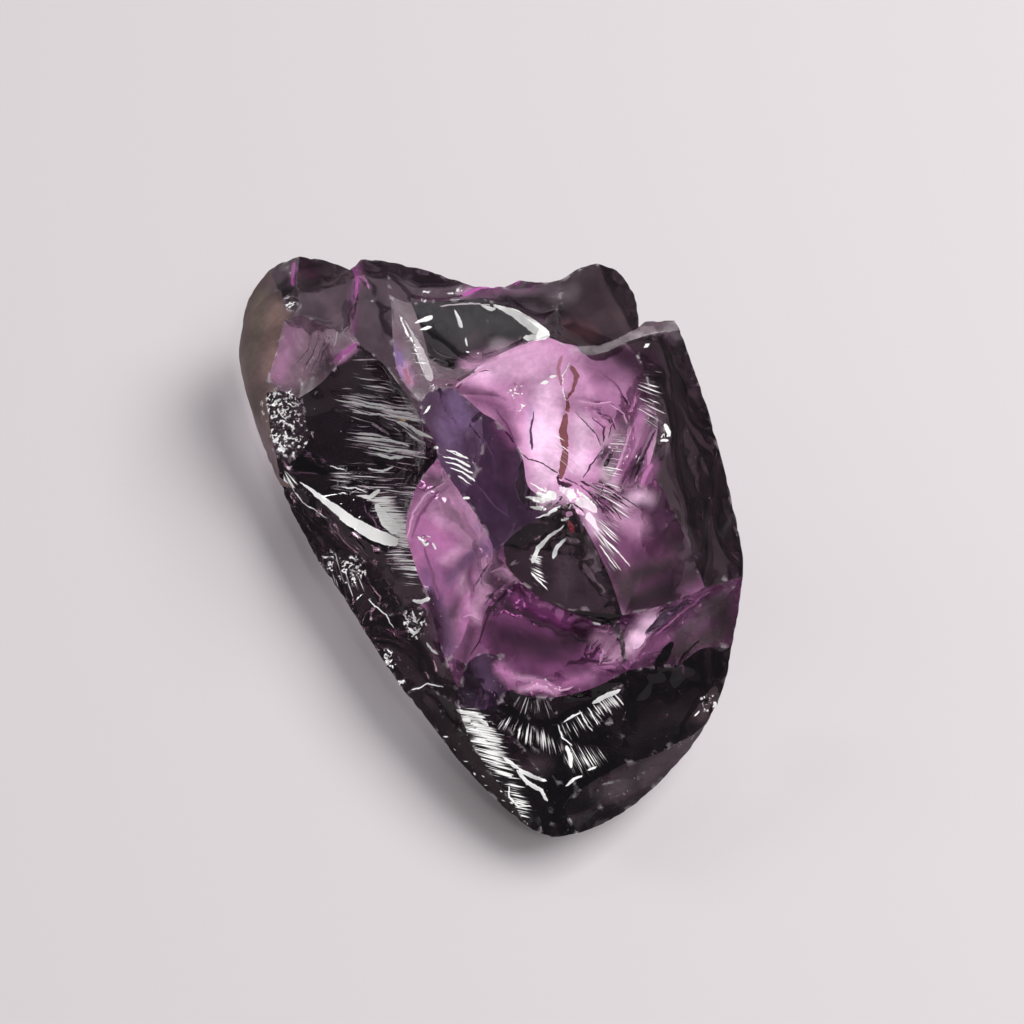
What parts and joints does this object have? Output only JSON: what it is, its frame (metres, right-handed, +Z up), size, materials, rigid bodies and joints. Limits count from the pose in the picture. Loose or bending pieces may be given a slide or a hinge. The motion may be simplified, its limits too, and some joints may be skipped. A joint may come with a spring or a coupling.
{
  "type": "rough alexandrite",
  "caption": "Unpolished violet alexandrite crystal: one natural stone, broken along shell-shaped scars, with a pointed end and a flat resting face.",
  "frame": {"origin": "centre of the bounding box's footprint, at the height of the resting face", "axes": "+Z up from the resting face, +Y away from the pointed end along the stone's length, +X to the right seen from the pointed end"},
  "size_m": [0.0354, 0.0416, 0.0169],
  "materials": {
    "violet_crystal": "glassy fracture faces, clear violet, with a duller weathered skin along one side"
  },
  "bodies": {
    "root": {"rough_alexandrite": "violet_crystal"}
  },
  "joints": []
}
